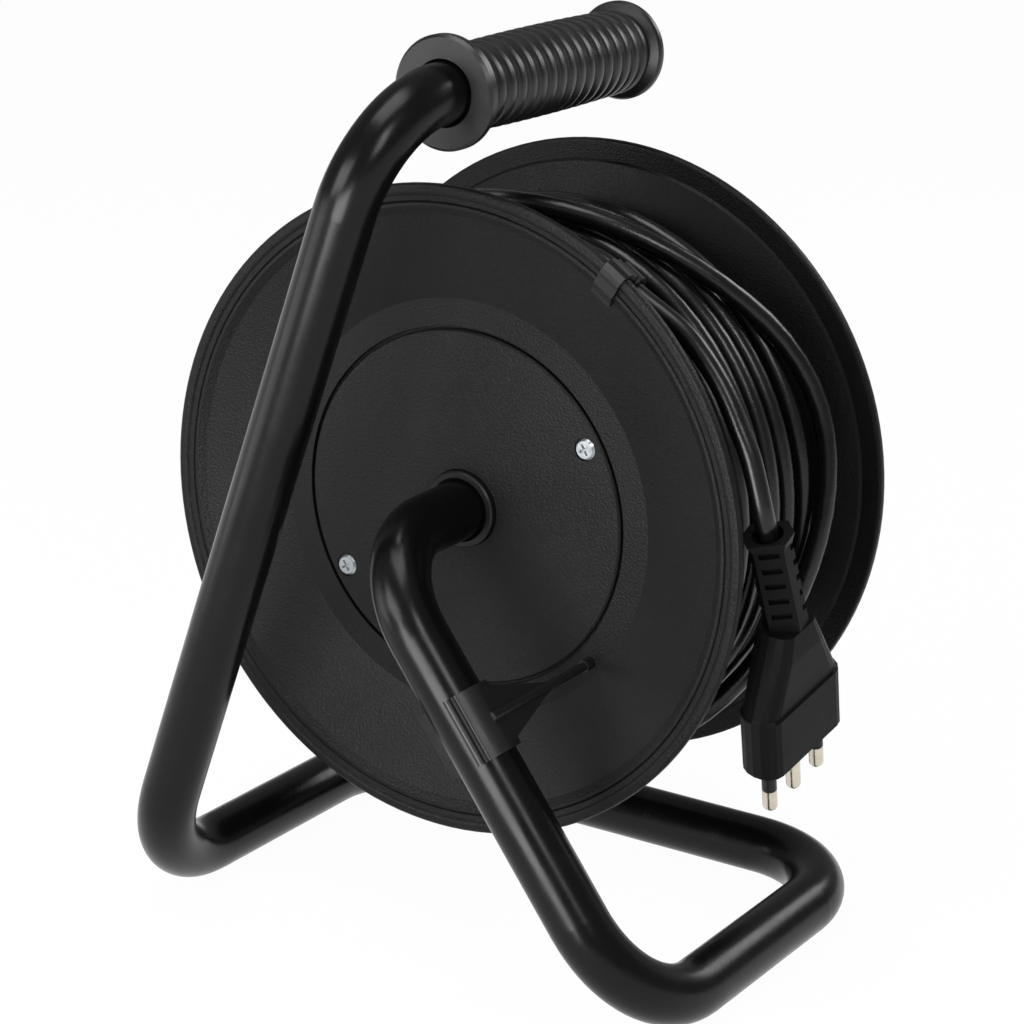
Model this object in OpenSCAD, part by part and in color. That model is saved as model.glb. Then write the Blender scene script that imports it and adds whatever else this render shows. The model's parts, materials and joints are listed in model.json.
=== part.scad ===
// Extension cord reel: a bent-tube stand whose inner end is the axle, a moulded drum that
// turns on it, a wound cord with a three-pin plug, and a socket panel in the rear flange.
// Everything is drawn with the drum axis along Y and the front rim in the plane y = 0,
// then moved so that the origin is under the middle of the reel, on the ground.

/* [Drum] */
// Diameter over both flanges
flange_d = 220; // [218:1:224]
// Width over the two rims
drum_w = 103; // [101:0.5:112]
// Width of the rear half of the drum
rear_half_w = 51.5; // [50:0.5:54]
// Depth of the dished centre below the rim plane
dish_depth = 11.2; // [9:0.1:13]
// Diameter at which the dish meets its flat ring
dish_inner_d = 141.4; // [136:0.2:150]
// Width of the flat rim outside the dish
rim_w = 4; // [3:0.1:6]
// Wall of the moulded shells
shell_wall = 2.4; // [2:0.1:3]
// Thickness of the round bead at each rim
bead_w = 3.4; // [3:0.1:4.4]
// Diameter of the barrel that the cord is wound on
barrel_d = 121; // [117:0.5:122]
// Diameter of the round covers in both faces
cover_d = 120.8; // [118:0.2:121.4]
// Thickness of the covers
cover_wall = 2.2; // [1.8:0.1:3]
// Height of a cover over the flat ring around it
cover_proud = 0.5; // [0:0.1:1]
// Gap around the edge of a cover
cover_gap = 1.2; // [0.6:0.1:1.4]
// Radius on which the two cover screws stand
cover_screw_r = 54.5; // [53:0.1:55]
// Height of each radial rib inside the barrel
rib_h = 20; // [14:1:26]
// Number of radial ribs inside the barrel
rib_count = 6; // [3:1:8]

/* [Axle and bushes] */
// Outer diameter of the stand's tube, which is also the axle
tube_d = 20; // [18:0.5:21]
// Wall of the tube
tube_wall = 1.5; // [1:0.1:2.5]
// Radial play of a turning fit
run_gap = 0.05; // [0.02:0.01:0.1]
// Wall of the two bushes
bush_wall = 3; // [2:0.1:3.4]
// Length of the front bush
front_bush_len = 19; // [14:0.5:24]
// Length of the rear bush
rear_bush_len = 12; // [8:0.5:14]
// Distance from the plane where the shells meet to the end of the axle
axle_reach = 5.5; // [4:0.1:6.5]
// Outer diameter of the washer on the axle's end
washer_d = 30; // [26:0.5:34]

/* [Stand] */
// Distance from the drum axis to the right base tube
foot_right = 105; // [98:0.5:115]
// Distance from the drum axis to the left base tube
foot_left = 92; // [84:0.5:110]
// Distance from the front rim plane to the front legs
leg_gap = 43; // [42:0.5:60]
// Distance from the front rim plane to the rear base tube
base_back = 107.5; // [100:0.5:125]
// Height of the drum axis over the base tubes
axle_h = 138; // [136:0.5:150]
// Height of the grip over the drum axis
grip_h = 140.5; // [139:0.5:150]
// Bend radius beside the hub
hub_bend = 32; // [28:0.5:33]
// Bend radius of the four base corners
base_bend = 38; // [30:0.5:40]
// Bend radius under the grip
top_bend = 35; // [30:0.5:36]

/* [Grip] */
// Distance from the front rim plane to the collar in front of it
grip_front = 6.4; // [3:0.1:6.8]
// Distance from the front rim plane to the closed rear end
grip_back = 105; // [100:0.5:112]
// Diameter of the front collar
collar_d = 37; // [34:0.5:40]
// Diameter of the rear collar
end_collar_d = 33.6; // [31:0.2:38]
// Diameter over the ribs at the middle
rib_d = 29.6; // [28:0.2:32]
// Diameter over the ribs at both ends
rib_end_d = 28.2; // [26.5:0.2:29.5]
// Depth of the grooves between the ribs
groove = 1.9; // [0.8:0.1:2.2]
// Number of ribs
grip_ribs = 16; // [12:1:18]

/* [Drum brake] */
// Distance from the drum axis to the middle of the clip, along the leg
clip_at = 65.4; // [60:0.2:70]
// Length of the clip along the leg
clip_len = 23; // [18:0.5:28]
// Wall of the clip
clip_wall = 2; // [1.6:0.1:2.6]
// Diameter of the finger
finger_d = 3; // [2.2:0.1:3.4]
// Diameter of the finger's head
head_d = 4; // [3.4:0.1:5]
// Length of the finger's head
head_len = 3.6; // [2.5:0.1:5]
// Gap between the finger's head and the drum
head_gap = 0.3; // [0.2:0.1:1]
// Thickness of the web beside the finger
web_t = 1.2; // [0.8:0.1:2]

/* [Rim clip] */
// Angle of the cord's clip around the rim, from the right-hand side upwards
rim_clip_angle = 56; // [50:1:60]
// Width of the clip along the rim
rim_clip_w = 8; // [6:0.5:12]
// Wall of the clip
rim_clip_t = 1.5; // [1.2:0.1:1.8]

/* [Cord and winding] */
// Diameter of the cord
cable_d = 7; // [6.4:0.1:7.2]
// Radius of the lower layer of turns, to the middle of the cord
lower_r = 91.5; // [90:0.1:92]
// Height of the upper layer over the lower one
layer_step = 7.7; // [7.3:0.1:8.5]
// Distance between neighbouring turns of the lower layer
turn_pitch = 11; // [10.6:0.1:11.2]
// Number of turns in the lower layer
lower_turns = 6; // [4:1:6]

/* [Sockets] */
// Width of a socket insert
socket_w = 46; // [42:0.5:47]
// Height of a socket insert
socket_h = 24; // [20:0.5:26]
// Depth of a socket insert
socket_depth = 24; // [18:0.5:25]
// Distance between the middles of the two socket columns
socket_pitch_x = 51; // [49:0.5:54]
// Distance between the middles of the two socket rows
socket_pitch_z = 30; // [28:0.5:33]
// Play of a plug pin in its hole, all round
pin_play = 0.2; // [0.1:0.05:0.4]
// Diameter of the reset button
button_d = 9; // [7:0.5:11]
// Travel of the reset button
button_travel = 2; // [1:0.1:3]
// Distance of the reset button below the drum axis
button_drop = 42; // [40:0.5:44]

/* [Winding knob] */
// Diameter of the knob at its top
knob_d = 24; // [18:0.5:28]
// Length of the knob
knob_len = 27; // [20:0.5:34]
// Distance from the drum axis to the knob
knob_r = 84; // [80:0.5:88]
// Angle of the knob around the drum, from the right-hand side upwards
knob_angle = 90; // [60:5:120]
// Diameter of the knob's pin
knob_pin_d = 8; // [6:0.5:10]

/* [Plug] */
// Diameter of the plug's pins
pin_d = 5; // [4:0.1:5.2]
// Length of the pins
pin_len = 19; // [17:0.5:22]
// Distance between neighbouring pins
pin_pitch = 13; // [12:0.1:13.5]
// Length of the black sleeve on the two outer pins
sleeve_len = 10; // [6:0.5:12]
// Width of the plug
plug_w = 42; // [38:0.5:46]
// Thickness of the plug
plug_t = 15.5; // [14:0.5:18]
// Length of the plug's body
plug_len = 52.5; // [48:0.5:58]
// Height of the broad block that the pins stand on
block_h = 24; // [20:0.5:28]
// Width of the plug at its neck
neck_w = 18; // [16:0.5:22]
// Thickness of the plug at its neck
neck_t = 14; // [13:0.5:15]
// Length of the strain relief
relief_len = 35; // [30:0.5:40]
// Number of slots on each side of the strain relief
relief_slots = 5; // [3:1:5]

/* [Hidden] */
$fn = 96;

// Fits
fit_gap = 0.3;      // between mouldings that only lie beside each other
seat_gap = 0.02;    // of pressed, screwed and pushed-on fits
end_play = 0.5;     // of the drum between the stop ring and the washer

// Radii
tube_r = tube_d / 2;
bore_r = tube_r - tube_wall;
flange_r = flange_d / 2;
dish_in = dish_inner_d / 2;
dish_out = flange_r - rim_w;
barrel_r = barrel_d / 2;
barrel_in = barrel_r - shell_wall;
cover_r = cover_d / 2;
cable_r = cable_d / 2;
pin_r = pin_d / 2;
bush_in = tube_r + run_gap;
bush_out = bush_in + bush_wall;
hub_in = bush_out + seat_gap;
hub_out = hub_in + shell_wall;
clip_in = tube_r + run_gap;
clip_out = clip_in + clip_wall;

// Planes along the drum axis, counted from the front rim
mid_y = drum_w - rear_half_w;
rim_face = 1;                               // where the dish meets the rim
cover_y = dish_depth - cover_proud;
ledge_y = cover_y + cover_wall;
bush_y = cover_y - 2.4;                     // the bush stands proud of the cover
rib_end = ledge_y + rib_h;
web_y = mid_y + shell_wall;                 // rear side of the web in the rear shell
axle_end_y = mid_y + axle_reach;
rear_bush_y = axle_end_y - end_play - rear_bush_len;
front_bush_end = bush_y + front_bush_len;
hub_end = max(rib_end, front_bush_end + 3);
panel_y = drum_w - cover_y;                 // outer face of the socket panel
panel_in = drum_w - ledge_y;

// Rim, seen in section: a steeper band and a fine groove beside the bead
band_in = dish_out - 6;
band_out = dish_out - 3.4;
groove_r = dish_out - 2;
bead_r = 1.1;                               // rounding of the bead

// Other walls
washer_t = 2;
barrel_root = 3;                            // fillet between barrel and flange
rib_t = 2;
cover_boss_len = 18;

// Height of the dish at radius r, in front of the shell and behind it
function dish_y(r) = rim_face + (dish_depth - rim_face) * (dish_out - r) / (dish_out - dish_in);
function inner_y(r) = (r < dish_in ? dish_depth : dish_y(r)) + shell_wall;

// Screws: radius of shank, length of shank, radius and height of head
cover_screw = [1.75, 14, 3.65, 1.8];
shell_screw = [1.6, 24, 3.2, 1.8];
panel_screw = [1.6, 14, 3.2, 1.8];
clamp_screw = [1.5, 7, 2.7, 1.6];
axle_bolt = [3, 12, 5.5, 3.2];
head_sink = 1.2;                            // depth of the recess around a head
head_play = 0.3;                            // gap around a head in its recess
boss_wall = 2.6;                            // plastic around a screw's hole
boss_r = barrel_in - 4;                     // radius on which the bosses stand
cover_screw_angles = [31.7, 212.4];
shell_screw_angles = [0, 90, 180, 270];
panel_screw_angles = [56, 124, 236, 304];
boss_y = mid_y + 10;                        // rear end of the shell screws' bosses
joint_boss_len = 20;                        // of the bosses that take their threads
boss_floor = 4;
panel_boss_len = 22;

// Cord inside the rear shell
lead_angle = 212;
lead_y = web_y + 0.6 + cable_r;
lead_end_r = 34;
clamp_r = 44;                               // radius at which the clamp holds the lead
clamp_pitch = cable_d + 10;                 // between the clamp's two screws
clamp_w = 8;
clamp_t = 2.2;

// Sockets
lip = 1.2;
socket_face = panel_y + 1;
socket_back = socket_face - socket_depth;
socket_places = [[-1, 1], [1, 1], [-1, -1], [1, -1]];
front_hole = 12;                            // length of a hole's narrow front stretch
hole_r = pin_r + pin_play;
contact_r = hole_r + 0.9;                   // wide rear stretch that holds the contact
contact_wall = 0.65;
contact_len = 10;
bar_t = 0.8;
bar_w = contact_r * 2;
bar_reach = socket_pitch_z / 2 + 3;         // how far a bar runs past the middle
bridge_w = 4;
earth_step = 3;                             // by which the earth bridge clears the others

// Thermal cut-out
button_r = button_d / 2;
nose_r = button_r + 1.8;
nose_h = 3.2;
cutout_w = 20;
cutout_h = 14;
cutout_depth = 20;
button_rise = button_travel + 0.6;          // above the nose when it is out
button_y = panel_y + nose_h + button_rise;
button_len = 9.5;

// Winding knob and its pin
knob_seat = drum_w - 2;                     // end of the boss that carries the pin
knob_y = knob_seat + fit_gap;
knob_end = knob_y + knob_len;
knob_boss_r = knob_pin_d / 2 + 4.5;
pin_root = drum_w - inner_y(knob_r + knob_pin_d / 2) + 0.8;
pin_head_r = knob_pin_d / 2 + 2.2;
pin_head_h = 2.4;
pin_head_sink = 4.5;                        // of the head below the knob's top
head_from = knob_end - pin_head_sink - pin_head_h;

// Where the winding's tube runs: angle along the cord against radius and distance from
// the rim; the angle falls from turn to turn and goes on below zero in the upper layer
climb_from = 215;
climb_to = 150;
rings = 24;
step = 360 / rings;
upper_r = lower_r + layer_step;
clip_cord_r = flange_r - 8;
clip_cord_y = 14;
end_angle = rim_clip_angle - 360;
first_y = 17;
core_gap = 0.3;
wave = 1.4;                                 // by which a turn sways from side to side
start_angle = climb_from + 360 * lower_turns;
ring_count = floor((start_angle - end_angle - step / 2) / step);
core_r = lower_r * cos(step / 2) - cable_r - core_gap;
winding_r = [
    [end_angle, clip_cord_r], [end_angle + 30, upper_r], [climb_to, upper_r],
    [climb_from, lower_r]
];
winding_y = [
    [end_angle, clip_cord_y], [-145, 13], [-90, 34], [-45, 56], [-8, 74], [15, 88],
    [36, 80], [50, 62], [63, 52], [85, 36], [climb_to, 23], [climb_from, first_y]
];

// Plug: middle of the face that the pins stand on, and how the plug hangs
plug_at = [108, 47, -70];
plug_turn = [19.4, 7.7, -7];
plug_up = turned([0, 0, 1], plug_turn);
neck = plug_at + plug_len * plug_up;
relief_tilt = [22, -3, 0];
relief_up = turned([0, 0, 1], relief_tilt);
relief_top = neck + relief_len * relief_up;
funnel = 6;
cord_end = relief_top - funnel * relief_up;
shoulder_h = 9.5;                           // from the shoulders' top edge to the neck
shoulder_w = 25.5;
ledge = 0.8;                                // by which the block stands proud of the shoulders
end_round = 6;                              // depth of the rounded narrow ends
relief_w = 14.6;
relief_t = 10.4;
relief_turn = 22;                           // of the flattened sleeve about its own axis
collar_flare = 1.2;
collar_h = 3.5;

// Free cord from the rim clip to the plug, in steps of about two diameters
clip_point = [clip_cord_r * cos(rim_clip_angle), clip_cord_y, clip_cord_r * sin(rim_clip_angle)];
clip_way = [sin(rim_clip_angle), 0, -cos(rim_clip_angle)];
free_points = [
    [77.7, 14, 72.5], [86.2, 13.6, 65.2], [94.2, 13.2, 55.6], [100.1, 12.8, 45.5], [105.4, 12.5, 35.2]
];

// Stand
front_y = -leg_gap;
right_foot = [foot_right, front_y, -axle_h];
left_foot = [-foot_left, front_y, -axle_h];
right_back = [foot_right, base_back, -axle_h];
left_back = [-foot_left, base_back, -axle_h];
axle_front = [0, front_y, 0];
axle_end = [0, axle_end_y, 0];
grip_corner = [0, front_y, grip_h];
grip_end = [0, grip_back - 4, grip_h];
corners = [axle_end, axle_front, right_foot, right_back, left_back, left_foot, grip_corner, grip_end];
bends = [hub_bend, base_bend, base_bend, base_bend, base_bend, top_bend];
joint_lap = 0.05;                           // between a straight run and a bend
joint_hair = 0.02;                          // by which a bend's walls stand inside the run's

// Brake, drawn around the leg: x outwards from the leg, y to the rear, z up the leg
leg_down = unit(right_foot - axle_front);
leg_out = cross([0, 1, 0], -leg_down);
clip_middle = axle_front + clip_at * leg_down;
finger_root = [clip_out - 0.3, -2.4, 0];
finger_tip = [clip_out + 2, leg_gap + dish_depth - head_gap, 0];

// Origin: under the middle of the box around the reel, on the ground
x_low = min(-flange_r, -foot_left - tube_r);
x_high = max(flange_r, foot_right + tube_r);
y_low = front_y - clip_out;
y_high = max(base_back + tube_r, knob_end);
origin = [(x_low + x_high) / 2, (y_low + y_high) / 2, -axle_h - tube_r];

// ---- Helpers ----

function unit(v) = v / norm(v);
function dot(a, b) = a[0] * b[0] + a[1] * b[1] + a[2] * b[2];
function turn_x(v, a) = [v[0], v[1] * cos(a) - v[2] * sin(a), v[1] * sin(a) + v[2] * cos(a)];
function turn_y(v, a) = [v[0] * cos(a) + v[2] * sin(a), v[1], v[2] * cos(a) - v[0] * sin(a)];
function turn_z(v, a) = [v[0] * cos(a) - v[1] * sin(a), v[0] * sin(a) + v[1] * cos(a), v[2]];
function turned(v, angles) = turn_z(turn_y(turn_x(v, angles[0]), angles[1]), angles[2]);
function arc(centre, r, from, to, parts) = [
    for (i = [0:parts])
        let (a = from + (to - from) * i / parts)
        centre + r * [cos(a), sin(a)]
];

// Places its children with their axes along x, y and z and their origin at p
module frame(p, x, y, z) {
    multmatrix([
        [x[0], y[0], z[0], p[0]],
        [x[1], y[1], z[1], p[1]],
        [x[2], y[2], z[2], p[2]]
    ]) children();
}

// Places its children at p with their z axis along the unit vector z
module along(p, z) {
    side = abs(z[1]) < 0.9 ? [0, 1, 0] : [1, 0, 0];
    x = unit(cross(side, z));
    frame(p, x, cross(z, x), z) children();
}

// Turns an outline of radius and distance y about the drum axis
module revolve() {
    rotate([-90, 0, 0]) rotate_extrude() children();
}

// Extrudes an outline, drawn in x and z, from y0 to y1
module slab(y0, y1) {
    translate([0, y1, 0]) rotate([90, 0, 0]) linear_extrude(y1 - y0) children();
}

// Cylinder parallel to the drum axis, at radius r and angle a around it
module rod(r, a, y0, y1, rod_r) {
    slab(y0, y1) rotate(a) translate([r, 0]) circle(rod_r);
}

// Screw with its head's seat at z = 0 and its head above
module screw(size) {
    shank_r = size[0];
    head_r = size[2];
    head_h = size[3];
    slot = [head_r * 1.1, 0.8, head_h];
    difference() {
        union() {
            translate([0, 0, -size[1]]) cylinder(r = shank_r, h = size[1]);
            cylinder(r = head_r, h = head_h * 0.6);
            translate([0, 0, head_h * 0.6])
                cylinder(r1 = head_r, r2 = head_r * 0.8, h = head_h * 0.4);
        }
        for (turn = [0, 90])
            rotate(turn) translate([0, 0, head_h * 0.9]) cube(slot, center = true);
    }
}

// Screws at radius r and the given angles, heads to the front or to the rear
module screws(size, r, angles, y, rear) {
    for (a = angles)
        rotate([0, -a, 0]) translate([r, y, 0]) rotate([rear ? -90 : 90, 0, 0]) screw(size);
}

// Closed skin over rings of points, each ring with the same number of points
module skin(rings) {
    sides = len(rings[0]);
    last = (len(rings) - 1) * sides;
    walls = [
        for (i = [0:len(rings) - 2], k = [0:sides - 1])
            let (a = i * sides, b = a + sides, m = (k + 1) % sides)
            each [[a + k, b + k, b + m], [a + k, b + m, a + m]]
    ];
    caps = [
        for (k = [1:sides - 2])
            each [[0, k, k + 1], [last, last + k + 1, last + k]]
    ];
    polyhedron([for (ring = rings) each ring], concat(walls, caps));
}

// One unbroken tube through the ring centres in path; refs keeps the rings from twisting
module swept_tube(path, refs, r, sides) {
    n = len(path);
    skin([
        for (i = [0:n - 1])
            let (
                t = unit(path[min(i + 1, n - 1)] - path[max(i - 1, 0)]),
                u = unit(refs[i] - dot(refs[i], t) * t),
                v = cross(t, u)
            )
            [for (k = [0:sides - 1]) path[i] + r * (cos(360 * k / sides) * u + sin(360 * k / sides) * v)]
    ]);
}

// ---- Stand ----

function way(i) = unit(corners[i + 1] - corners[i]);

// Ring section of the tube; a bend's is thinner by a hair so that it enters the runs cleanly
module tube_section(hair = 0) {
    difference() {
        circle(tube_r - hair);
        circle(bore_r + hair);
    }
}

// Straight run i along local z, then its bend towards local x and the rest of the tube
module tube_from(i) {
    first = i == 0;
    last = i == len(bends);
    reach = norm(corners[i + 1] - corners[i]);
    length = reach - (first ? 0 : bends[i - 1]) - (last ? 0 : bends[i]);
    from = first ? 0 : -joint_lap;
    to = last ? length : length + joint_lap;
    translate([0, 0, from]) linear_extrude(to - from) tube_section();
    if (!last) {
        r = bends[i];
        translate([0, 0, length]) rotate(first ? 0 : twist(i)) {
            translate([r, 0, 0]) rotate([90, 0, 180]) rotate_extrude(angle = 90)
                translate([r, 0]) tube_section(joint_hair);
            translate([r, 0, r]) rotate([0, 90, 0]) tube_from(i + 1);
        }
    }
}

function twist(i) = atan2(
    dot(way(i + 1), cross(way(i - 1), way(i))),
    -dot(way(i + 1), way(i - 1))
);

module tube_frame() {
    color("#141414") frame(corners[0], way(1), cross(way(0), way(1)), way(0)) tube_from(0);
}

module hand_grip() {
    rib_from = 5;
    rib_to = grip_back - 5;
    pitch = (rib_to - rib_from) / grip_ribs;
    facets = 6;
    collar_r = collar_d / 2;
    end_r = end_collar_d / 2;
    base_r = rib_end_d / 2;
    swell = (rib_d - rib_end_d) / 2;
    seat = tube_r + seat_gap;
    stop = grip_end[1] + seat_gap;
    middle = (rib_from + rib_to) / 2;
    function crown(y) = base_r + swell * (1 - pow((y - middle) / (rib_to - middle), 2));
    ribs = [
        for (k = [0:grip_ribs - 1], j = [0:facets - 1])
            let (y = rib_from + pitch * (k + j / facets), u = 2 * j / facets - 1)
            [crown(y) - groove * (1 - sqrt(1 - u * u)), y]
    ];
    front = [
        [seat + 0.9, -grip_front], [collar_r - 1, -grip_front], [collar_r, 1 - grip_front],
        [collar_r, -2.8], [collar_r - 1.4, -2.2], [collar_r - 2, 0], [base_r - 0.8, 1.6],
        [base_r - 0.8, rib_from - 0.6]
    ];
    rear = [
        [base_r - groove, rib_to], [end_r - 0.6, rib_to + 1.6], [end_r, rib_to + 2.6],
        [end_r, grip_back - 0.8], [end_r - 0.8, grip_back], [0, grip_back], [0, stop],
        [seat, stop], [seat, 2 - grip_front]
    ];
    color("#1b1b1b") translate([0, 0, grip_h]) revolve() polygon(concat(front, ribs, rear));
}

// ---- Axle ----

module ring(y0, y1, inner, outer) {
    slab(y0, y1) difference() {
        circle(outer);
        circle(inner);
    }
}

module axle_stop_ring() {
    color("silver")
        ring(rear_bush_y - fit_gap - 2, rear_bush_y - fit_gap, tube_r + seat_gap, bush_out + 1);
}

module axle_plug() {
    color("#333333")
        ring(axle_end_y - 17, axle_end_y, axle_bolt[0] + seat_gap, bore_r - seat_gap);
}

module axle_washer() {
    color("silver") ring(axle_end_y, axle_end_y + washer_t, axle_bolt[0] + fit_gap, washer_d / 2);
}

module axle_screw() {
    color("silver") translate([0, axle_end_y + washer_t, 0]) rotate([-90, 0, 0]) screw(axle_bolt);
}

// ---- Drum shells ----

// Section of one shell: recess for the cover, dish, band, groove, bead and half the barrel
shell_outline = concat(
    [
        [barrel_in, ledge_y], [cover_r + cover_gap, ledge_y], [cover_r + cover_gap, dish_depth],
        [dish_in, dish_depth], [band_in, dish_y(band_in)], [band_out, rim_face],
        [groove_r - 0.4, rim_face], [groove_r, rim_face + 0.5], [groove_r + 0.4, rim_face],
        [dish_out, rim_face - 0.2], [dish_out + 0.7, 0.2], [dish_out + 1.4, 0]
    ],
    arc([flange_r - bead_r, bead_r], bead_r, -90, 0, 3),
    arc([flange_r - bead_r, bead_w - bead_r], bead_r, 0, 90, 3),
    [
        [band_out + 0.4, bead_w], [band_out - 0.4, inner_y(band_out - 0.4)],
        [dish_in, dish_depth + shell_wall], [barrel_r + barrel_root, dish_depth + shell_wall],
        [barrel_r, dish_depth + shell_wall + barrel_root], [barrel_r, mid_y], [barrel_in, mid_y]
    ]
);

module front_hub() {
    stop_r = tube_r + 1.2;
    revolve() polygon([
        [hub_in, ledge_y], [hub_out, ledge_y], [hub_out, hub_end], [stop_r, hub_end],
        [stop_r, front_bush_end + seat_gap], [hub_in, front_bush_end + seat_gap]
    ]);
}

module barrel_ribs() {
    slab(ledge_y, rib_end)
        for (k = [0:rib_count - 1])
            rotate(30 + 360 * k / rib_count) translate([hub_out - 0.5, -rib_t / 2])
                square([barrel_in - hub_out + 1, rib_t]);
}

module front_flange() {
    cover_hole = cover_screw[0] + seat_gap;
    shell_hole = shell_screw[0] + seat_gap;
    color("#202020") difference() {
        union() {
            revolve() polygon(shell_outline);
            front_hub();
            barrel_ribs();
            for (a = cover_screw_angles)
                rod(cover_screw_r, a, ledge_y, ledge_y + cover_boss_len, cover_hole + boss_wall);
            for (a = shell_screw_angles)
                rod(boss_r, a, mid_y - joint_boss_len, mid_y, shell_hole + boss_wall);
        }
        for (a = cover_screw_angles)
            rod(cover_screw_r, a, ledge_y - 1, ledge_y + cover_boss_len - 2, cover_hole);
        for (a = shell_screw_angles)
            rod(boss_r, a, mid_y - joint_boss_len + boss_floor, mid_y + 1, shell_hole);
    }
}

// Turns what is drawn for the front shell round to the rear one
module at_rear() {
    translate([0, drum_w, 0]) mirror([0, 1, 0]) children();
}

// Boss of the knob's pin, cut off along the inner face of the dish
module knob_boss() {
    intersection() {
        rod(knob_r, knob_angle, drum_w - knob_seat, dish_depth, knob_boss_r);
        revolve() polygon([
            [dish_in, 0], [dish_out, 0], [dish_out, rim_face + 1], [dish_in, dish_depth + 1]
        ]);
    }
}

// Places its children at radius r on the line of the cord inside the rear shell
module at_lead(r, y, across) {
    rotate([0, -lead_angle, 0]) translate([r, y, across]) rotate([-90, 0, 0]) children();
}

module rear_flange() {
    panel_hole = panel_screw[0] + seat_gap;
    color("#202020") difference() {
        union() {
            at_rear() revolve() polygon(shell_outline);
            at_rear() knob_boss();
            ring(mid_y, web_y, hub_in, barrel_in + 0.5);
            ring(rear_bush_y + fit_gap, axle_end_y - end_play - fit_gap, hub_in, hub_out);
            for (a = shell_screw_angles)
                rod(boss_r, a, mid_y, boss_y, shell_screw[0] + head_play + boss_wall);
            for (a = panel_screw_angles)
                rod(boss_r, a, panel_in - panel_boss_len, panel_in, panel_hole + boss_wall);
            for (s = [-1, 1])
                at_lead(clamp_r, web_y, s * clamp_pitch / 2)
                    cylinder(r = clamp_screw[0] + 2, h = lead_y + cable_r - web_y);
            at_lead(clamp_r, web_y, 0)
                translate([-clamp_w / 2, -cable_r, 0]) cube([clamp_w, cable_d, lead_y - cable_r - web_y]);
        }
        for (a = shell_screw_angles)
            rod(boss_r, a, mid_y - 1, boss_y + 1, shell_screw[0] + head_play);
        for (a = panel_screw_angles)
            rod(boss_r, a, panel_in - panel_boss_len + 4, panel_in + 1, panel_hole);
        for (s = [-1, 1])
            at_lead(clamp_r, web_y + 1, s * clamp_pitch / 2)
                cylinder(r = clamp_screw[0] + seat_gap, h = 2 * cable_d);
        rotate([0, -lead_angle, 0]) translate([barrel_in - 3, lead_y, 0]) rotate([0, 90, 0])
            cylinder(r = cable_r + fit_gap, h = shell_wall + 6);
        rod(knob_r, knob_angle, pin_root - seat_gap, drum_w + 1, knob_pin_d / 2 + seat_gap);
    }
}

module screw_holes(size, r, angles, y0, y1, face, sink_to) {
    for (a = angles) {
        rod(r, a, y0, y1, size[0] + head_play);
        rod(r, a, face, sink_to, size[2] + head_play);
    }
}

module front_cover() {
    bevel = 0.6;
    hole = bush_out + fit_gap;
    color("#202020") difference() {
        revolve() polygon([
            [hole, cover_y], [cover_r - bevel, cover_y], [cover_r, cover_y + bevel],
            [cover_r, ledge_y], [hole, ledge_y]
        ]);
        screw_holes(
            cover_screw, cover_screw_r, cover_screw_angles,
            cover_y - 1, ledge_y + 1, cover_y - 1, cover_y + head_sink
        );
    }
}

module cover_screws() {
    color("silver")
        screws(cover_screw, cover_screw_r, cover_screw_angles, cover_y + head_sink, false);
}

module shell_screws() {
    color("silver") screws(shell_screw, boss_r, shell_screw_angles, boss_y, true);
}

module front_bush() {
    mouth = 0.9;
    edge = 0.5;
    color("#262626") revolve() polygon([
        [bush_in, bush_y + mouth], [bush_in + mouth, bush_y], [bush_out - edge, bush_y],
        [bush_out, bush_y + edge], [bush_out, front_bush_end], [bush_in, front_bush_end]
    ]);
}

module rear_bush() {
    color("#262626") ring(rear_bush_y, axle_end_y - end_play, bush_in, bush_out);
}

// ---- Sockets ----

function socket_at(i) = [
    socket_places[i][0] * socket_pitch_x / 2, socket_places[i][1] * socket_pitch_z / 2
];

module socket_panel() {
    window = [socket_w + 2 * seat_gap, socket_h + 2 * seat_gap];
    color("#202020") difference() {
        slab(panel_in, panel_y) circle(cover_r);
        slab(panel_in - 1, panel_y + 1) {
            for (i = [0:3]) translate(socket_at(i)) square(window, center = true);
            translate([0, -button_drop]) circle(nose_r + seat_gap);
        }
        screw_holes(
            panel_screw, boss_r, panel_screw_angles,
            panel_in - 1, panel_y + 1, panel_y - head_sink, panel_y + 1
        );
    }
}

module panel_screws() {
    color("silver") screws(panel_screw, boss_r, panel_screw_angles, panel_y - head_sink, true);
}

module socket_insert(i) {
    color("#2a2a2a") translate([socket_at(i)[0], 0, socket_at(i)[1]]) difference() {
        union() {
            slab(socket_back, panel_y) square([socket_w, socket_h], center = true);
            slab(panel_y, socket_face) square([socket_w + 2 * lip, socket_h + 2 * lip], center = true);
        }
        for (k = [-1:1]) {
            slab(socket_face - front_hole, socket_face + 1)
                translate([k * pin_pitch, 0]) circle(hole_r);
            slab(socket_back - 1, socket_face - front_hole)
                translate([k * pin_pitch, 0]) circle(contact_r);
        }
    }
}

// Where a bar's strips stand; k tells which of a socket's three holes it serves
function bar_at(k) = [
    for (side = [-1, 1]) side * socket_pitch_x / 2 + k * pin_pitch
];

// Strips behind the sockets with one contact tube for each hole, from z = low to high
module bar_strips(k, low, high) {
    inner = hole_r + 0.1;
    outer = contact_r - 0.1;
    for (x = bar_at(k)) {
        slab(socket_back - bar_t, socket_back) difference() {
            translate([x - bar_w / 2, low]) square([bar_w, high - low]);
            for (z = [-1, 1]) translate([x, z * socket_pitch_z / 2]) circle(inner);
        }
        for (z = [-1, 1])
            translate([x, 0, z * socket_pitch_z / 2])
                ring(socket_back, socket_back + contact_len, inner, outer);
    }
}

module bridge(k, z, drop) {
    x = bar_at(k);
    slab(socket_back - bar_t - drop, socket_back - drop)
        translate([x[0] - bar_w / 2, z - bridge_w / 2]) square([x[1] - x[0] + bar_w, bridge_w]);
}

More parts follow.
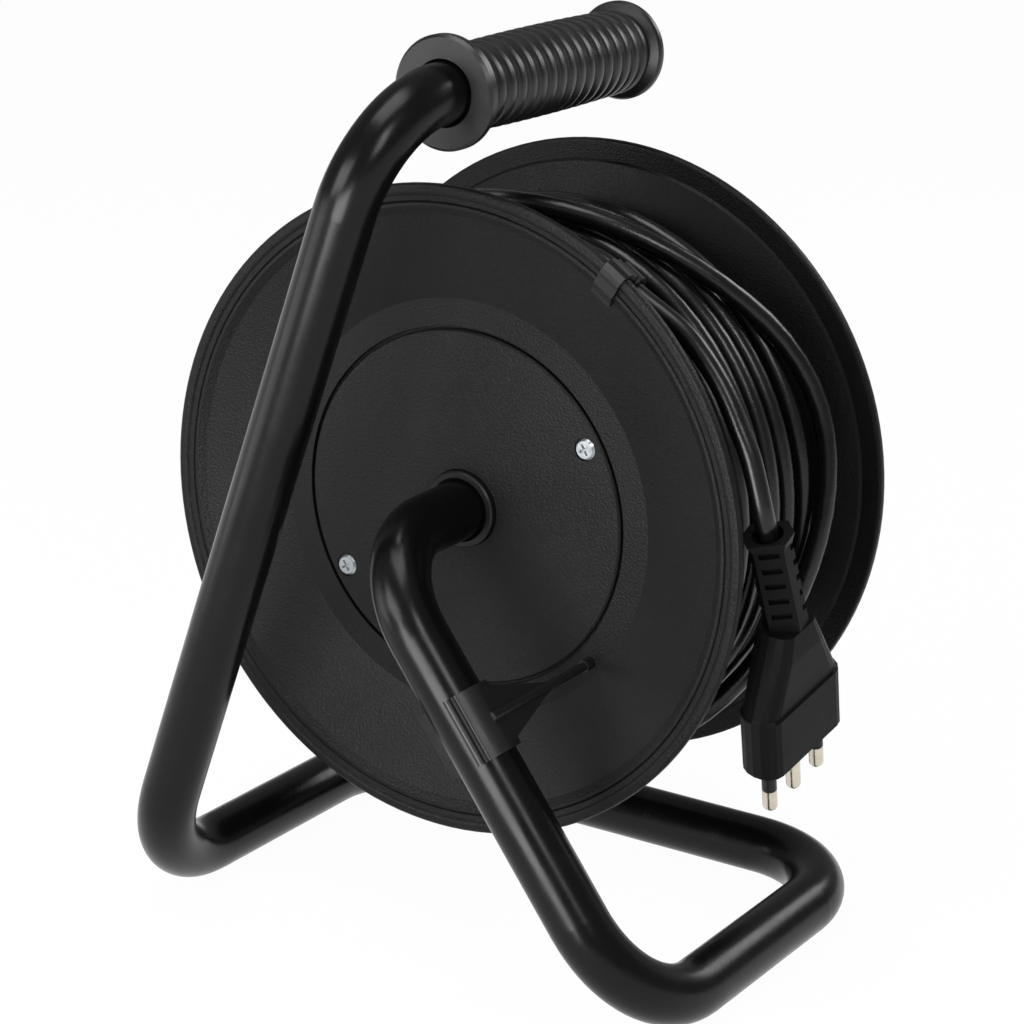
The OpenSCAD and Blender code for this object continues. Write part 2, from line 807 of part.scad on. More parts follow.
module live_bar() {
    color("goldenrod") {
        bar_strips(-1, -bar_reach, bar_reach + 2 + bridge_w);
        bridge(-1, bar_reach + 2 + bridge_w / 2, 0);
    }
}

module neutral_bar() {
    color("goldenrod") {
        bar_strips(1, -bar_reach - 2 - bridge_w, bar_reach);
        bridge(1, -bar_reach - 2 - bridge_w / 2, 0);
    }
}

module earth_bar() {
    color("goldenrod") {
        bar_strips(0, -bar_reach, bar_reach);
        bridge(0, 0, earth_step);
        for (x = bar_at(0))
            slab(socket_back - bar_t - earth_step, socket_back)
                translate([x, 0]) square([bar_w, bridge_w], center = true);
    }
}

module thermal_cutout() {
    blade = [0.8, 6];
    color("#1a1a1a") translate([0, 0, -button_drop]) difference() {
        union() {
            slab(panel_in - cutout_depth, panel_in) square([cutout_w, cutout_h], center = true);
            slab(panel_in, panel_y + nose_h) circle(nose_r);
            slab(panel_in - cutout_depth - 6, panel_in - cutout_depth)
                for (x = [-5, 5]) translate([x, 0]) square(blade, center = true);
        }
        slab(button_y - button_len - button_travel - fit_gap, drum_w + 1)
            circle(button_r + run_gap);
    }
}

module reset_button() {
    edge = 0.6;
    color("#c03020") translate([0, button_y - button_len, -button_drop]) rotate([-90, 0, 0]) {
        cylinder(r = button_r, h = button_len - edge);
        translate([0, 0, button_len - edge])
            cylinder(r1 = button_r, r2 = button_r - edge, h = edge);
    }
}

module inner_lead() {
    color("#111111") rotate([0, -lead_angle, 0]) translate([lead_end_r, lead_y, 0])
        rotate([0, 90, 0]) cylinder(r = cable_r, h = barrel_r - 0.5 - lead_end_r);
}

module cord_clamp() {
    length = clamp_pitch + 8;
    color("#333333") difference() {
        at_lead(clamp_r, lead_y + cable_r, 0)
            translate([-clamp_w / 2, -length / 2, 0]) cube([clamp_w, length, clamp_t]);
        for (s = [-1, 1])
            at_lead(clamp_r, lead_y, s * clamp_pitch / 2)
                cylinder(r = clamp_screw[0] + head_play, h = cable_d);
    }
}

module clamp_screws() {
    color("silver") for (s = [-1, 1])
        at_lead(clamp_r, lead_y + cable_r + clamp_t, s * clamp_pitch / 2) screw(clamp_screw);
}

// ---- Winding ----

module winding_core() {
    gap = 0.1;
    half = [
        [barrel_r + gap / 2, inner_y(dish_in) + barrel_root + gap],
        [barrel_r + barrel_root + gap, inner_y(dish_in) + gap], [dish_in, inner_y(dish_in) + gap],
        [core_r, inner_y(core_r) + gap]
    ];
    other = [for (i = [len(half) - 1:-1:0]) [half[i][0], drum_w - half[i][1]]];
    color("#151515") revolve() polygon(concat(half, other));
}

function turns_y(a) = a < climb_from
    ? lookup(a, winding_y)
    : first_y + turn_pitch * (a - climb_from) / 360 + wave * sin(2 * (climb_from - a));
function smooth_y(a) = (turns_y(a + step) + 2 * turns_y(a) + turns_y(a - step)) / 4;
function radial(a) = [cos(a), 0, sin(a)];
function turn_point(a) = lookup(a, winding_r) * radial(a) + [0, smooth_y(a), 0];

turn_points = [for (i = [0:ring_count]) turn_point(start_angle - i * step)];
turns_start = turn_points[0] - cable_d * unit(turn_points[1] - turn_points[0]);
turns_path = concat([turns_start], turn_points, [clip_point - cable_d * clip_way, clip_point]);
turns_refs = concat(
    [radial(start_angle)],
    [for (i = [0:ring_count]) radial(start_angle - i * step)],
    [radial(rim_clip_angle), radial(rim_clip_angle)]
);

// Least gap of the turns to each other, on the rings and halfway between them
function least_gap() =
    let (
        n = len(turns_path),
        halves = [for (i = [0:n - 2]) each [turns_path[i], (turns_path[i] + turns_path[i + 1]) / 2]]
    )
    min([
        for (i = [0:len(halves) - 1], j = [i + rings:len(halves) - 1])
            norm(halves[i] - halves[j])
    ]) - cable_d;

module winding_turns() {
    echo("least gap between the turns, mm", least_gap());
    color("#151515") swept_tube(turns_path, turns_refs, cable_r, 6);
}

module free_cord() {
    path = concat(
        [clip_point, clip_point + cable_d * clip_way],
        free_points,
        [cord_end + 2 * cable_d * relief_up, cord_end + cable_d * relief_up, cord_end]
    );
    refs = [for (p = path) [0.3, 1, 0.2]];
    color("#151515") swept_tube(path, refs, cable_r, 10);
}

// Outline of even thickness t along the points of a line
function ribbon(line, t) =
    let (
        n = len(line),
        normals = [
            for (i = [0:n - 1])
                let (d = unit(line[min(i + 1, n - 1)] - line[max(i - 1, 0)]))
                [-d[1], d[0]]
        ]
    )
    concat(
        [for (i = [0:n - 1]) line[i] + normals[i] * t / 2],
        [for (i = [n - 1:-1:0]) line[i] - normals[i] * t / 2]
    );

// Hooks over the rim bead and ends in a hood over the cord
module rim_clip() {
    hood_from = -45;
    hood_to = 85;
    off = rim_clip_t / 2 + fit_gap - 0.1;
    hood_r = cable_r + off + 0.2;
    leaf = [
        [band_in - 1.6, dish_y(band_in - 1.6) - off], [band_in, dish_y(band_in) - off],
        [band_out, rim_face - off], [dish_out - 0.2, rim_face - 0.3 - off],
        [dish_out + 1.4, -off], [flange_r - 1.2, -off]
    ];
    hook = [
        [flange_r + off * 0.55, -off * 0.4], [flange_r + off, bead_r],
        [flange_r + off, bead_w - 0.4], [flange_r, bead_w + off + 0.4],
        [flange_r - 1.7, bead_w + off + 1.2], [flange_r - 0.4, bead_w + off + 3],
        [flange_r - 1.6, bead_w + off + 4.4], [flange_r - 4, bead_w + off + 5.2]
    ];
    hood = arc([clip_cord_r, clip_cord_y], hood_r, hood_from, hood_to, 6);
    color("#1c1c1c") rotate([0, -rim_clip_angle, 0]) linear_extrude(rim_clip_w, center = true)
        polygon(ribbon(concat(leaf, hook, hood), rim_clip_t));
}

// ---- Plug, drawn with its pins pointing down from z = 0 and its broad faces along x ----

module in_plug() {
    translate(plug_at) rotate(plug_turn) children();
}

// Level outline with flat broad faces and rounded narrow ends
function plug_ring(w, t, round, z) = [
    for (side = [1, -1], k = [0:8])
        let (a = 22.5 * k)
        [side * t / 2 * cos(a), side * (w / 2 - round + round * sin(a)), z]
];

// Broad block beside the pins, then tapering shoulders set back by the ledge, then the neck
module plug_body() {
    edge = 1;
    color("#1a1a1a") in_plug() skin([
        plug_ring(plug_w - 2 * edge, plug_t - 2 * edge, end_round, 0),
        plug_ring(plug_w, plug_t, end_round, edge),
        plug_ring(plug_w, plug_t, end_round, block_h),
        plug_ring(plug_w - 2 * ledge, plug_t - 2 * ledge, end_round, block_h + ledge),
        plug_ring(shoulder_w, neck_t + 1, end_round - 1, plug_len - shoulder_h),
        plug_ring(neck_w, neck_t, end_round - 2, plug_len)
    ]);
}

// Flattened six-sided outline of the strain relief, widened all round by more
module relief_outline(more) {
    w = relief_w / 2 + more;
    t = relief_t / 2 + more;
    flat_w = w - 2.4;
    polygon([[w, 0], [flat_w, t], [-flat_w, t], [-w, 0], [-flat_w, -t], [flat_w, -t]]);
}

// Slotted sleeve with a flared collar and an open funnel at the cord's end
module plug_relief() {
    slot = [6.6, 3, 2.1];
    notch = [3, 3.4, 2.1];
    first_slot = 6;
    slot_pitch = (relief_len - first_slot - funnel + 1) / (relief_slots - 1);
    sink = 4;
    color("#191919") difference() {
        translate(neck) rotate(relief_tilt) rotate(relief_turn) difference() {
            union() {
                translate([0, 0, -sink]) linear_extrude(relief_len - collar_h + sink) relief_outline(0);
                translate([0, 0, relief_len - collar_h]) hull() {
                    linear_extrude(0.01) relief_outline(0);
                    translate([0, 0, collar_h - 0.4]) linear_extrude(0.4) relief_outline(collar_flare);
                }
            }
            translate([0, 0, relief_len - funnel])
                cylinder(r1 = cable_r + seat_gap, r2 = relief_t / 2, h = funnel + 0.01, $fn = 24);
            for (i = [0:relief_slots - 1], side = [-1, 1])
                translate([0, side * relief_t / 2, first_slot + i * slot_pitch]) {
                    cube(slot, center = true);
                    translate([side * (relief_w / 2), -side * relief_t / 2, 0]) cube(notch, center = true);
                }
        }
        in_plug() translate([-plug_w / 2, -plug_w / 2, 0]) cube([plug_w, plug_w, plug_len]);
    }
}

module plug_pins() {
    thin_r = pin_r - 0.5;
    tip = 2;
    function pin_outline(neck_r, neck_len) = concat(
        [[0, 0], [neck_r, 0], [neck_r, -neck_len], [pin_r, -neck_len], [pin_r, tip - pin_len]],
        [for (a = [15:15:90]) [pin_r * cos(a), tip - pin_len - tip * sin(a)]]
    );
    color("#c9c2b0") in_plug() {
        rotate_extrude() polygon(pin_outline(pin_r, 1));
        for (s = [-1, 1])
            translate([0, s * pin_pitch, 0]) rotate_extrude()
                polygon(pin_outline(thin_r, sleeve_len));
    }
}

module pin_sleeves() {
    color("#161616") in_plug() for (s = [-1, 1])
        translate([0, s * pin_pitch, -sleeve_len]) difference() {
            cylinder(r = pin_r, h = sleeve_len);
            translate([0, 0, -1]) cylinder(r = pin_r - 0.5 + seat_gap, h = sleeve_len + 2);
        }
}

// ---- Winding knob ----

module at_knob() {
    rotate([0, -knob_angle, 0]) translate([knob_r, 0, 0]) children();
}

module knob_pin() {
    edge = 0.6;
    color("silver") at_knob() revolve() polygon([
        [0, pin_root], [knob_pin_d / 2, pin_root], [knob_pin_d / 2, head_from],
        [pin_head_r, head_from], [pin_head_r, head_from + pin_head_h - edge],
        [pin_head_r - edge, head_from + pin_head_h], [0, head_from + pin_head_h]
    ]);
}

module winding_knob() {
    hole = knob_pin_d / 2 + run_gap;
    well = pin_head_r + 0.5;
    top_r = knob_d / 2;
    waist_r = top_r - 3;
    round_r = 3;
    color("#1c1c1c") at_knob() revolve() polygon(concat(
        [
            [hole, knob_y], [waist_r + 0.8, knob_y], [waist_r + 1.4, knob_y + 0.8],
            [waist_r, knob_y + knob_len * 0.35], [waist_r + 0.6, knob_y + knob_len * 0.6],
            [top_r - 0.4, knob_end - round_r - 3]
        ],
        arc([top_r - round_r, knob_end - round_r], round_r, 0, 90, 4),
        [[well, knob_end], [well, head_from - fit_gap], [hole, head_from - fit_gap]]
    ));
}

// ---- Drum brake: snap clip on the right leg with a finger that rests at the drum ----

module clip_section() {
    jaw_to = 128;
    jaw_from = 298;
    arm_len = 13;
    bead_r = 1.4;
    notch_r = 0.5;
    difference() {
        circle(clip_out);
        circle(clip_in);
        polygon(concat([[0, 0]], arc([0, 0], 2 * clip_out, jaw_to, jaw_from, 4)));
        rotate(jaw_from + 13) translate([clip_out, 0]) circle(notch_r, $fn = 16);
    }
    rotate(jaw_to) translate([clip_in + 0.02, -0.3]) square([clip_wall - 0.04, arm_len + 0.3]);
    rotate(jaw_from) translate([clip_in + bead_r + 0.4, 0]) circle(bead_r, $fn = 24);
}

module finger_web(reach) {
    rotate([90, 0, 90]) linear_extrude(web_t)
        polygon([[2, 1 - clip_len / 2], [2, clip_len / 2 - 1], [reach, 0]]);
}

module drum_brake() {
    finger = finger_tip - finger_root;
    lean = atan(finger[0] / finger[1]);
    color("#1a1a1a") frame(clip_middle, leg_out, [0, 1, 0], -leg_down) {
        linear_extrude(clip_len, center = true) clip_section();
        translate(finger_root) rotate([0, 0, -lean]) {
            translate([0.2 - web_t, 0, 0]) finger_web(norm(finger) * 0.65);
            rotate([-90, 0, 0]) {
                cylinder(d = finger_d, h = norm(finger) - head_len / 2);
                translate([0, 0, norm(finger) - head_len]) cylinder(d = head_d, h = head_len);
            }
        }
    }
}

module placed() {
    translate(-origin) children();
}

placed() tube_frame();
placed() hand_grip();
placed() axle_stop_ring();
placed() axle_plug();
placed() axle_washer();
placed() axle_screw();
placed() front_flange();
placed() rear_flange();
placed() front_cover();
placed() cover_screws();
placed() front_bush();
placed() rear_bush();
placed() shell_screws();
placed() socket_panel();
placed() panel_screws();
placed() socket_insert(0);  // socket_1
placed() socket_insert(1);  // socket_2
placed() socket_insert(2);  // socket_3
placed() socket_insert(3);  // socket_4
placed() live_bar();
placed() neutral_bar();
placed() earth_bar();
placed() thermal_cutout();
placed() reset_button();
placed() inner_lead();
placed() cord_clamp();
placed() clamp_screws();
placed() winding_core();
placed() winding_turns();
placed() free_cord();
placed() plug_relief();
placed() plug_body();
placed() plug_pins();
placed() pin_sleeves();
placed() rim_clip();
placed() knob_pin();
placed() winding_knob();
placed() drum_brake();
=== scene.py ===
"""Looks of the extension cord reel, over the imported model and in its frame, in metres."""

import json
import math

import bpy
import numpy as np
from mathutils import Matrix, Vector


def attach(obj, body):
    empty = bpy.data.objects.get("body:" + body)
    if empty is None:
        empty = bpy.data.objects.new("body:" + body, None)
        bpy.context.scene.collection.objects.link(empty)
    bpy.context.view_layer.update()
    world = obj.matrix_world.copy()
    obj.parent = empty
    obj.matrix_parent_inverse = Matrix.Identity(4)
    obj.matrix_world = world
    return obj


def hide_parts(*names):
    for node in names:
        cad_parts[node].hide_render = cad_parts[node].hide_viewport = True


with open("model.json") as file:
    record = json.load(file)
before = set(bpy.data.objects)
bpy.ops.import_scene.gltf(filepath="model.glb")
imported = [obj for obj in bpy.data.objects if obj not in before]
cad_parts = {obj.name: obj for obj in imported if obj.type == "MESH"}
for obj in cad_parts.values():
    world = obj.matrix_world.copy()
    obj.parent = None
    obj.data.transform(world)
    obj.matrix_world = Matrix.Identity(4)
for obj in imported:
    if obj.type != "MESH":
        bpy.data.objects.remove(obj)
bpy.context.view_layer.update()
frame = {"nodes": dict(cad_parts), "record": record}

# The drum's own coordinates, in millimetres: origin on its axis in the front rim plane
ORIGIN = Vector((0.0025, 0.036625, -0.148))


def at(x, y, z):
    return Vector((x, y, z)) / 1000 - ORIGIN


def polar(r, angle, y):
    a = math.radians(angle)
    return at(r * math.cos(a), y, r * math.sin(a))


# ---- Camera, measured from the photograph ----

CAMERA_PLACE = at(533.54, -818.15, 313.79)
CAMERA_RIGHT = Vector((0.84491, 0.53422, 0.02713))
CAMERA_UP = Vector((-0.18443, 0.24333, 0.95225))
CAMERA_BACK = Vector((0.50211, -0.80957, 0.30412))
SENSOR, LENS = 36, 109.9


def make_camera():
    data = bpy.data.cameras.new("camera")
    data.sensor_width = SENSOR
    data.lens = LENS
    camera = bpy.data.objects.new("camera", data)
    turn = Matrix((CAMERA_RIGHT, CAMERA_UP, CAMERA_BACK)).transposed().to_4x4()
    camera.matrix_world = Matrix.Translation(CAMERA_PLACE) @ turn
    bpy.context.collection.objects.link(camera)
    bpy.context.scene.camera = camera


# ---- Mesh helpers ----


def add_mesh(name, verts, faces, smooth=True):
    """Object with this mesh, linked to the scene."""
    mesh = bpy.data.meshes.new(name)
    mesh.from_pydata([tuple(v) for v in verts], [], faces)
    mesh.validate()
    for p in mesh.polygons:
        p.use_smooth = smooth
    obj = bpy.data.objects.new(name, mesh)
    bpy.context.collection.objects.link(obj)
    return obj


def spline(points, parts):
    """Catmull-Rom curve through the points, with parts steps between each two."""
    p = [2 * points[0] - points[1], *points, 2 * points[-1] - points[-2]]
    out = []
    for i in range(1, len(p) - 2):
        a, b, c, d = p[i - 1 : i + 3]
        for k in range(parts):
            t = k / parts
            out.append(
                0.5
                * (
                    2 * b
                    + (c - a) * t
                    + (2 * a - 5 * b + 4 * c - d) * t * t
                    + (3 * b - 3 * c + d - a) * t**3
                )
            )
    return [*out, p[-2].copy()]


def tube(name, points, radius, sides=16):
    """Round tube along the points, its rings carried along without twist."""
    n = len(points)
    side = None
    verts, faces = [], []
    for i, p in enumerate(points):
        way = (points[min(i + 1, n - 1)] - points[max(i - 1, 0)]).normalized()
        if side is None:
            side = way.orthogonal().normalized()
        side = (side - way * side.dot(way)).normalized()
        other = way.cross(side)
        for k in range(sides):
            a = 2 * math.pi * k / sides
            verts.append(p + radius * (math.cos(a) * side + math.sin(a) * other))
    for i in range(n - 1):
        for k in range(sides):
            j = (k + 1) % sides
            near, far = i * sides, (i + 1) * sides
            faces.append((near + k, near + j, far + j, far + k))
    faces.append(tuple(reversed(range(sides))))
    faces.append(tuple(range((n - 1) * sides, n * sides)))
    return add_mesh(name, verts, faces)


# ---- Materials ----


class Nodes:
    """A material and short ways to add nodes to it."""

    def __init__(self, name):
        self.mat = bpy.data.materials.new(name)
        self.mat.use_nodes = True
        self.tree = self.mat.node_tree
        self.shader = self.tree.nodes["Principled BSDF"]

    def new(self, kind, inputs=(), **values):
        """Adds a node; an input is set to a value or linked to a socket."""
        node = self.tree.nodes.new(kind)
        for k, v in values.items():
            setattr(node, k, v)
        for k, v in dict(inputs).items():
            if isinstance(v, bpy.types.NodeSocket):
                self.tree.links.new(v, node.inputs[k])
            else:
                node.inputs[k].default_value = v
        return node

    def link(self, a, b):
        self.tree.links.new(a, b)

    def coords(self):
        return self.new("ShaderNodeTexCoord").outputs["Object"]

    def noise(self, scale, detail=3.0, rough=0.5):
        inputs = {"Scale": scale, "Detail": detail, "Roughness": rough, "Vector": self.coords()}
        return self.new("ShaderNodeTexNoise", inputs).outputs["Fac"]

    def spread(self, value, low, high, from_low=0.3, from_high=0.7):
        """Maps a noise onto low to high."""
        inputs = {
            "Value": value,
            "From Min": from_low,
            "From Max": from_high,
            "To Min": low,
            "To Max": high,
        }
        return self.new("ShaderNodeMapRange", inputs).outputs["Result"]

    def mix(self, factor, a, b):
        return self.new("ShaderNodeMix", {0: factor, 6: a, 7: b}, data_type="RGBA").outputs[2]

    def bump(self, height, distance):
        inputs = {"Height": height, "Distance": distance, "Strength": 1.0}
        return self.new("ShaderNodeBump", inputs).outputs["Normal"]

    def calc(self, operation, a, b):
        return self.new("ShaderNodeMath", {0: a, 1: b}, operation=operation).outputs[0]


def grey(v):
    return (v, v, v, 1)


# Scales of the noises: patches of shade, patches of gloss, dust, and where the dust lies
PATCH_SCALE, GLOSS_SCALE, DUST_SCALE, DUSTY_SCALE = 22, 60, 160, 40
PATCH = 0.12  # how far the shade goes from the level, as a part of it
DUST = 9  # how much paler than the level the dust is
STAIN_SCALE, WORN_SCALE, STAIN = 260, 500, 0.8


def moulded(name, level, rough, grain, depth, shine=0.5, specks=0.0, shades=None):
    """Plastic, rubber or enamel: fine grain, slight patches of shade and gloss, and dust."""
    m = Nodes(name)
    low, high = shades or (grey(level * (1 - PATCH)), grey(level * (1 + PATCH)))
    base = m.mix(m.spread(m.noise(PATCH_SCALE, 4, 0.6), 0, 1), low, high)
    if specks:
        cells = m.new("ShaderNodeTexVoronoi", {"Scale": DUST_SCALE, "Vector": m.coords()})
        dust = m.spread(cells.outputs["Distance"], specks, 0.0, 0.02, 0.06)
        some = m.spread(m.noise(DUSTY_SCALE, 2), 0.0, 1.0, 0.5, 0.7)
        base = m.mix(m.calc("MULTIPLY", dust, some), base, grey(level * DUST))
    m.link(base, m.shader.inputs["Base Color"])
    m.shader.inputs["Specular IOR Level"].default_value = shine
    gloss = m.spread(m.noise(GLOSS_SCALE, 5, 0.65), rough - 0.05, rough + 0.06)
    m.link(gloss, m.shader.inputs["Roughness"])
    m.link(m.bump(m.noise(grain, 2, 0.6), depth), m.shader.inputs["Normal"])
    return m.mat


def metal(name, color, rough, grain, depth):
    """Plated metal with faint stains."""
    m = Nodes(name)
    stained = (*(STAIN * c for c in color), 1)
    base = m.mix(m.spread(m.noise(STAIN_SCALE, 4, 0.6), 0, 1), stained, (*color, 1))
    m.link(base, m.shader.inputs["Base Color"])
    m.shader.inputs["Metallic"].default_value = 1
    gloss = m.spread(m.noise(WORN_SCALE, 3), rough - 0.06, rough + 0.08)
    m.link(gloss, m.shader.inputs["Roughness"])
    m.link(m.bump(m.noise(grain, 3), depth), m.shader.inputs["Normal"])
    return m.mat


# Per slot: level, roughness, scale and depth (m) of the grain, shine, dust
MOULDED = {
    "tube_enamel": (0.0025, 0.24, 160, 0.00003, 0.22, 0.2),
    "grip_rubber": (0.0065, 0.32, 2600, 0.00004, 0.48, 0),
    "drum_plastic": (0.006, 0.36, 1300, 0.00026, 0.13, 0.5),
    "cover_plastic": (0.0065, 0.34, 1300, 0.0002, 0.15, 0.5),
    "socket_plastic": (0.012, 0.4, 1800, 0.00003, 0.25, 0),
    "moulded_nylon": (0.006, 0.34, 1400, 0.00003, 0.3, 0),
    "knob_plastic": (0.008, 0.36, 1500, 0.00003, 0.4, 0),
    "cord_jacket": (0.0035, 0.28, 500, 0.00006, 0.42, 0),
    "plug_plastic": (0.0045, 0.4, 2200, 0.00004, 0.06, 0),
    "sleeve_plastic": (0.008, 0.36, 1500, 0.00003, 0.2, 0),
}
RED = ((0.4, 0.012, 0.01, 1), (0.45, 0.016, 0.012, 1))
# Per slot: colour, roughness, scale and depth (m) of the grain
METAL = {
    "zinc_steel": ((0.46, 0.49, 0.51), 0.3, 1200, 0.00003),
    "plated_brass": ((0.72, 0.66, 0.55), 0.22, 900, 0.00002),
    "contact_brass": ((0.78, 0.6, 0.3), 0.3, 900, 0.00002),
}


def make_materials():
    made = {slot: moulded(slot, *values) for slot, values in MOULDED.items()}
    made["button_plastic"] = moulded("button_plastic", 0.02, 0.3, 1500, 0.00002, shades=RED)
    return made | {slot: metal(slot, *values) for slot, values in METAL.items()}


def dress(obj, slot):
    """Gives the piece the material of its slot."""
    obj.data.materials.clear()
    obj.data.materials.append(materials[slot])
    return obj


SOFTENED = ("rim_clip", "drum_brake", "plug_body", "plug_relief")
SOFT_EDGE = 0.0003
SHARP_FROM = math.radians(38)


def soften(obj):
    """Small moulded rounding along the sharp edges."""
    bevel = obj.modifiers.new("rounding", "BEVEL")
    bevel.width = SOFT_EDGE
    bevel.segments = 2
    bevel.limit_method = "ANGLE"
    bevel.angle_limit = SHARP_FROM
    bevel.harden_normals = True


# ---- Cord ----

CABLE_R = 0.0035
CABLE_D = 2 * CABLE_R
CLIP_R, CLIP_ANGLE, CLIP_Y = 102, 56, 14
clip_point = polar(CLIP_R, CLIP_ANGLE, CLIP_Y)
clip_way = Vector((math.sin(math.radians(CLIP_ANGLE)), 0, -math.cos(math.radians(CLIP_ANGLE))))

# From the clip to the plug's relief, as in the source
FREE_POINTS = [
    (77.7, 14, 72.5),
    (86.2, 13.6, 65.2),
    (94.2, 13.2, 55.6),
    (100.1, 12.8, 45.5),
    (105.4, 12.5, 35.2),
]
CORD_END = at(111.053, 18.019, 5.924)
RELIEF_UP = Vector((-0.04853, -0.37461, 0.92591))


def lay_free_cord():
    """The cord's last stretch; returns its skin, its line and its length."""
    points = [clip_point, clip_point + CABLE_D * clip_way]
    points += [at(*p) for p in FREE_POINTS]
    points += [CORD_END + k * CABLE_D * RELIEF_UP for k in (2, 1, 0)]
    line = spline(points, 5)
    cord = dress(tube("free_cord_skin", line, CABLE_R), "cord_jacket")
    length = sum((b - a).length for a, b in zip(line, line[1:]))
    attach(cord, "drum")
    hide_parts("free_cord")
    return cord, line, length


# The outer layer runs from WINDING_START down to END_ANGLE, at the clip. Its lower turns lie
# side by side; from CLIMB_FROM to CLIMB_TO it climbs on them, and crosses them to the clip.
LOWER_R, UPPER_R, PITCH, TURNS = 91.5, 99.2, 11, 6
CLIMB_FROM, CLIMB_TO, FIRST_Y, WAVE = 215, 150, 17, 1.4
END_ANGLE, STEP = CLIP_ANGLE - 360, 15
WINDING_START, RISE, RISE_DEPTH = CLIMB_FROM + 360 * TURNS, 60, 9
SETTLED = 150  # over how many degrees the drift of the lower turns sets in

# Radius and distance from the rim, against the angle along the cord
WINDING_R = [
    (END_ANGLE, CLIP_R),
    (END_ANGLE + 30, UPPER_R),
    (CLIMB_TO, UPPER_R),
    (CLIMB_FROM, LOWER_R),
]
WINDING_Y = [
    (END_ANGLE, CLIP_Y),
    (-145, 13),
    (-90, 34),
    (-45, 56),
    (-8, 74),
    (15, 88),
    (36, 80),
    (50, 62),
    (63, 52),
    (85, 36),
    (CLIMB_TO, 23),
    (CLIMB_FROM, FIRST_Y),
]


def lookup(a, table):
    """Value of a table at an angle, straight between its rows."""
    return float(np.interp(a, [p[0] for p in table], [p[1] for p in table]))


def sine(degrees):
    return math.sin(math.radians(degrees))


def turns_y(a):
    """Distance from the rim; the lower turns wander a little, as if wound by hand."""
    if a < CLIMB_FROM:
        return lookup(a, WINDING_Y)
    laid = a - CLIMB_FROM
    drift = sine(0.73 * a) + 0.6 * sine(1.9 * a + 40)
    return FIRST_Y + PITCH * laid / 360 + WAVE * sine(-2 * laid) + drift * min(1, laid / SETTLED)


def turn_point(a):
    """The first turn rises from between the lower layers."""
    y = (turns_y(a + STEP) + 2 * turns_y(a) + turns_y(a - STEP)) / 4
    sunk = max(0, a - WINDING_START + RISE) / RISE
    return polar(lookup(a, WINDING_R) - RISE_DEPTH * sunk**2, a, y)


def lay_winding():
    """The outer layer, one unbroken strand up to the clip."""
    count = math.floor((WINDING_START - END_ANGLE - STEP / 2) / STEP)
    points = [turn_point(WINDING_START - i * STEP) for i in range(count + 1)]
    points += [clip_point - CABLE_D * clip_way, clip_point]
    skin = dress(tube("winding_skin", spline(points, 3), CABLE_R, 14), "cord_jacket")
    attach(skin, "drum")
    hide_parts("winding_turns")
    return skin


# Lower layers: their middle radius, their pitch and the distances where they begin and end
LAYER_R, LAYER_PITCH, LAYER_FROM, LAYER_TO, LAYER_STEP = 83.2, 7.3, 18.5, 84.5, 12
# Section of the cord below them: radius and distance from the rim
BED = [(64, 15), (80.5, 15.5), (81.5, 17), (81.5, 86), (80.5, 87.5), (64, 88)]
BED_SIDES = 96


def lay_core():
    """Lower layers: close turns over a plain drum of cord."""
    points = []
    total = 360 * (LAYER_TO - LAYER_FROM) / LAYER_PITCH
    for i in range(int(total / LAYER_STEP) + 1):
        a = i * LAYER_STEP
        wobble = 0.5 * sine(a * 1.7) + 0.3 * sine(a * 0.31)
        y = LAYER_FROM + LAYER_PITCH * a / 360 + wobble
        points.append(polar(LAYER_R + 0.25 * sine(a * 0.83), -a, y))
    layer = dress(tube("lower_layer", spline(points, 2), CABLE_R, 10), "cord_jacket")
    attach(layer, "drum")
    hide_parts("winding_core")

    verts, faces = [], []
    for k in range(BED_SIDES):
        verts += [polar(r, 360 * k / BED_SIDES, y) for r, y in BED]
    m = len(BED)
    for k in range(BED_SIDES):
        here, there = k * m, (k + 1) % BED_SIDES * m
        for q in range(m):
            w = (q + 1) % m
            faces.append((here + q, here + w, there + w, there + q))
    bed = dress(add_mesh("cord_bed", verts, faces, smooth=False), "cord_jacket")
    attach(bed, "drum")


# ---- Stage ----

FLOOR_SIZE, FLOOR_GREY, FLOOR_WHITE = 400, 0.9, 0.97
SKY = 0.22


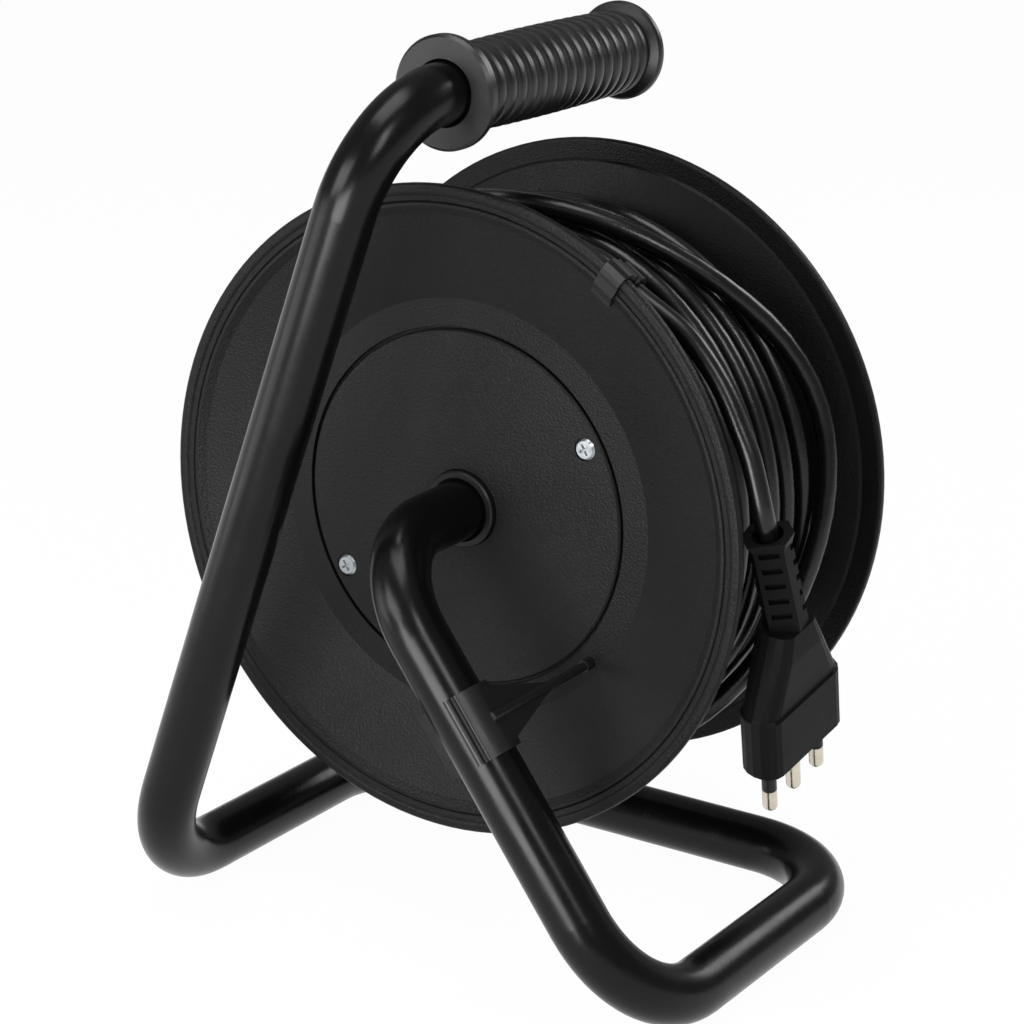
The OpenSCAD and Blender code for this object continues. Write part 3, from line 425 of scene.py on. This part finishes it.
def make_stage():
    """A floor that looks white and keeps the object's shadow, and a dim sky."""
    world = bpy.data.worlds.new("world")
    bpy.context.scene.world = world
    world.use_nodes = True
    sky = world.node_tree.nodes["Background"]
    sky.inputs["Color"].default_value = grey(1)
    sky.inputs["Strength"].default_value = SKY

    bpy.ops.mesh.primitive_plane_add(size=FLOOR_SIZE, location=(0, 0, 0))
    floor = bpy.context.object
    floor.name = "floor"
    m = Nodes("floor")
    m.shader.inputs["Base Color"].default_value = grey(FLOOR_GREY)
    m.shader.inputs["Roughness"].default_value = 0.9
    m.shader.inputs["Specular IOR Level"].default_value = 0
    path = m.new("ShaderNodeLightPath").outputs
    seen = m.calc("MAXIMUM", path["Is Camera Ray"], path["Is Glossy Ray"])
    seen = m.calc("MAXIMUM", seen, path["Is Transmission Ray"])
    part = m.calc("MULTIPLY", seen, FLOOR_WHITE)
    glow = m.new("ShaderNodeEmission", {"Color": grey(1), "Strength": 1.0})
    both = m.new("ShaderNodeMixShader", {0: part, 1: m.shader.outputs[0], 2: glow.outputs[0]})
    m.link(both.outputs[0], m.tree.nodes["Material Output"].inputs["Surface"])
    floor.data.materials.append(m.mat)


AIM = (0, 0, 0.15)
# Name: place, width and height in metres, and power in watts
LAMPS = {
    "low_left": ((-0.46, -0.39, 0.15), (0.3, 0.26), 0.5),
    "low_front": ((0.04, -0.62, 0.13), (0.36, 0.24), 3),
    "front": ((-0.42, -1.05, 0.58), (0.7, 0.45), 7),
    "right": ((0.85, -0.7, 0.9), (0.3, 0.5), 4),
    "top": ((-0.1, -0.3, 1.7), (1.1, 0.8), 13),
    "back": ((0.55, 1.1, 0.9), (0.7, 0.5), 6),
}


def make_lights():
    for name, (place, size, power) in LAMPS.items():
        data = bpy.data.lights.new(name, "AREA")
        data.shape = "RECTANGLE"
        data.size, data.size_y = size
        data.energy = power
        lamp = bpy.data.objects.new(name, data)
        lamp.location = place
        lamp.rotation_euler = (Vector(AIM) - Vector(place)).to_track_quat("-Z", "Y").to_euler()
        bpy.context.collection.objects.link(lamp)


# ---- Build ----

materials = make_materials()
make_camera()
free_cord, free_line, free_length = lay_free_cord()
lay_winding()
lay_core()
slots = {s["node"]: s["material_slot"] for s in frame["record"]["subparts"]}
for name, obj in frame["nodes"].items():
    if not obj.hide_render:
        dress(obj, slots[name])
for name in SOFTENED:
    soften(frame["nodes"][name])
make_stage()
make_lights()

scene = bpy.context.scene
scene.view_settings.view_transform = "Standard"
